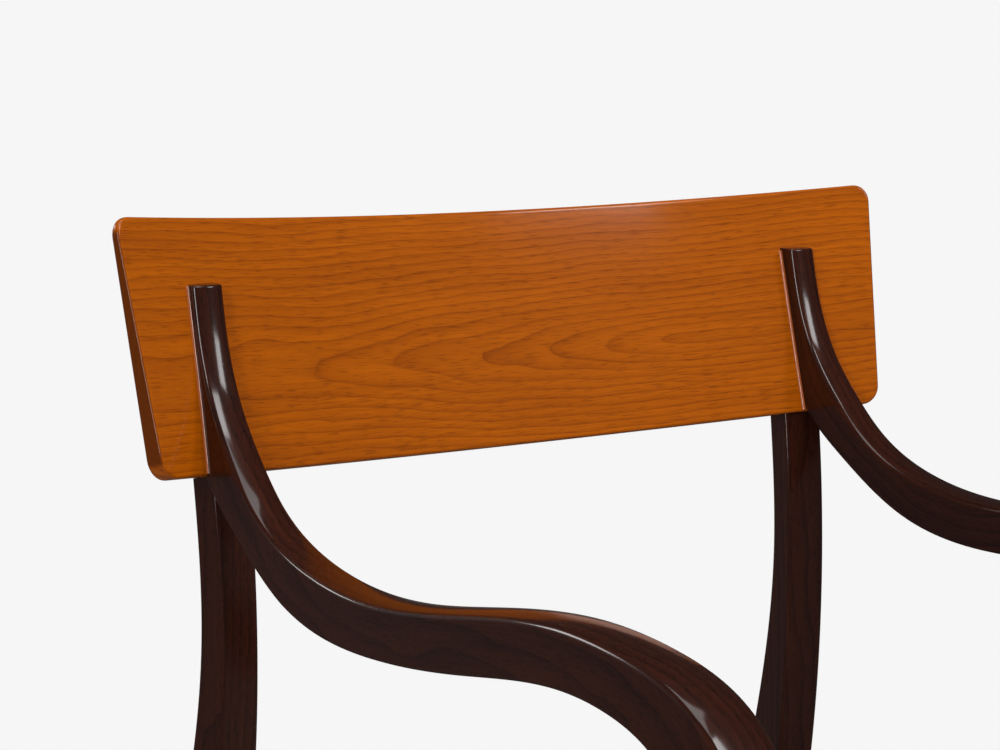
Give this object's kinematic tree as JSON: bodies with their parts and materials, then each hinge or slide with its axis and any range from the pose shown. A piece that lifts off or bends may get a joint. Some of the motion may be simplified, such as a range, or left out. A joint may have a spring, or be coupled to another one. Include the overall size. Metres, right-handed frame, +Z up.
{
  "type": "klismos armchair",
  "caption": "Wooden armchair with a wide curved back panel, S-shaped crowned arms, sabre legs and a padded drop-in seat.",
  "frame": {"origin": "on the floor, under the middle of the whole chair seen from above", "axes": "+X from the middle towards the arm named right, which is on the right of the picture; +Y from the front of the seat towards the back panel; +Z up"},
  "size_m": [0.6004, 0.6682, 0.8544],
  "materials": {
    "walnut": "clear gloss lacquer over orange-brown walnut",
    "mahogany": "dark red-brown stain under polished gloss lacquer",
    "block_wood": "unfinished planed beech",
    "plywood": "unfinished birch plywood",
    "foam": "open-cell foam",
    "seat_fabric": "tight plain weave, natural linen colour",
    "dust_cloth": "thin black non-woven cloth",
    "screw_steel": "zinc plated",
    "glide_steel": "pressed and polished"
  },
  "bodies": {
    "root": {"back_panel": "walnut", "rear_leg_right": "mahogany", "rear_leg_left": "mahogany", "front_leg_right": "mahogany", "front_leg_left": "mahogany", "arm_right": "mahogany", "arm_left": "mahogany", "side_rail_right": "mahogany", "side_rail_left": "mahogany", "front_rail": "mahogany", "rear_rail": "mahogany", "corner_block_front_right": "block_wood", "corner_block_front_left": "block_wood", "corner_block_rear_right": "block_wood", "corner_block_rear_left": "block_wood", "corner_block_screws": "screw_steel", "seat_board": "plywood", "seat_foam": "foam", "seat_cover": "seat_fabric", "seat_dust_cover": "dust_cloth", "seat_screws": "screw_steel", "arm_top_screws": "screw_steel", "arm_top_plugs": "walnut", "arm_foot_screws": "screw_steel", "foot_glides": "glide_steel"}
  },
  "joints": []
}
